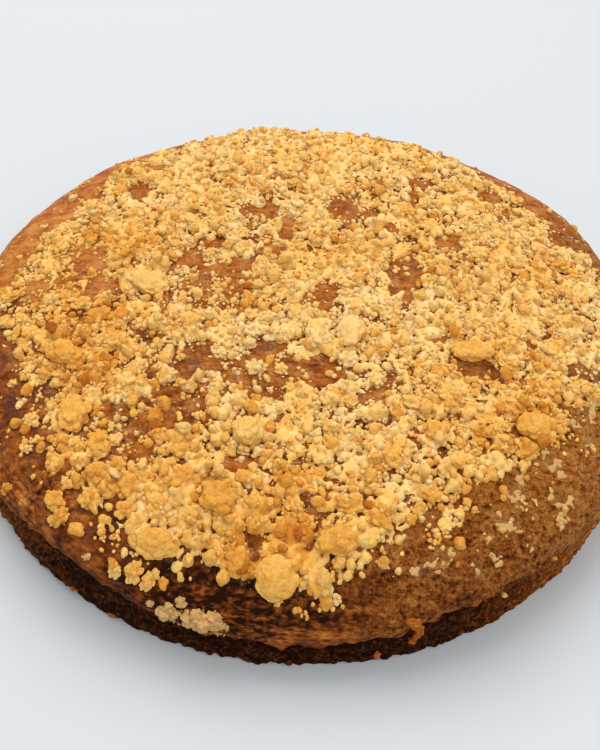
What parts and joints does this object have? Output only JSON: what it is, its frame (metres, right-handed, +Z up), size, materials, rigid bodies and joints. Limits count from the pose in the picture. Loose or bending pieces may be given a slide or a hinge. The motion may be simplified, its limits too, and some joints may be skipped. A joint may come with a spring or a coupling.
{
  "type": "crumb coffee cake",
  "caption": "Round, slightly domed coffee cake with a baked-on crumb topping of uneven clumps, a dark crust lip and a torn brown side.",
  "frame": {"origin": "middle of the flat underside, at the bottom of the bounding box", "axes": "+Z up, the shortest extent; -Y towards the front, where the biggest clump lies"},
  "size_m": [0.2626, 0.261, 0.0513],
  "materials": {
    "sponge": "baked brown crust, satin on top and open torn crumb at the side",
    "crumb": "matt golden baked crumb, grainy"
  },
  "bodies": {
    "root": {"cake": "sponge", "clump_1": "crumb", "clump_2": "crumb", "clump_3": "crumb", "clump_4": "crumb", "clump_5": "crumb", "clump_6": "crumb", "clump_7": "crumb", "clump_8": "crumb", "clump_9": "crumb", "clump_10": "crumb", "clump_11": "crumb", "clump_12": "crumb"}
  },
  "joints": []
}
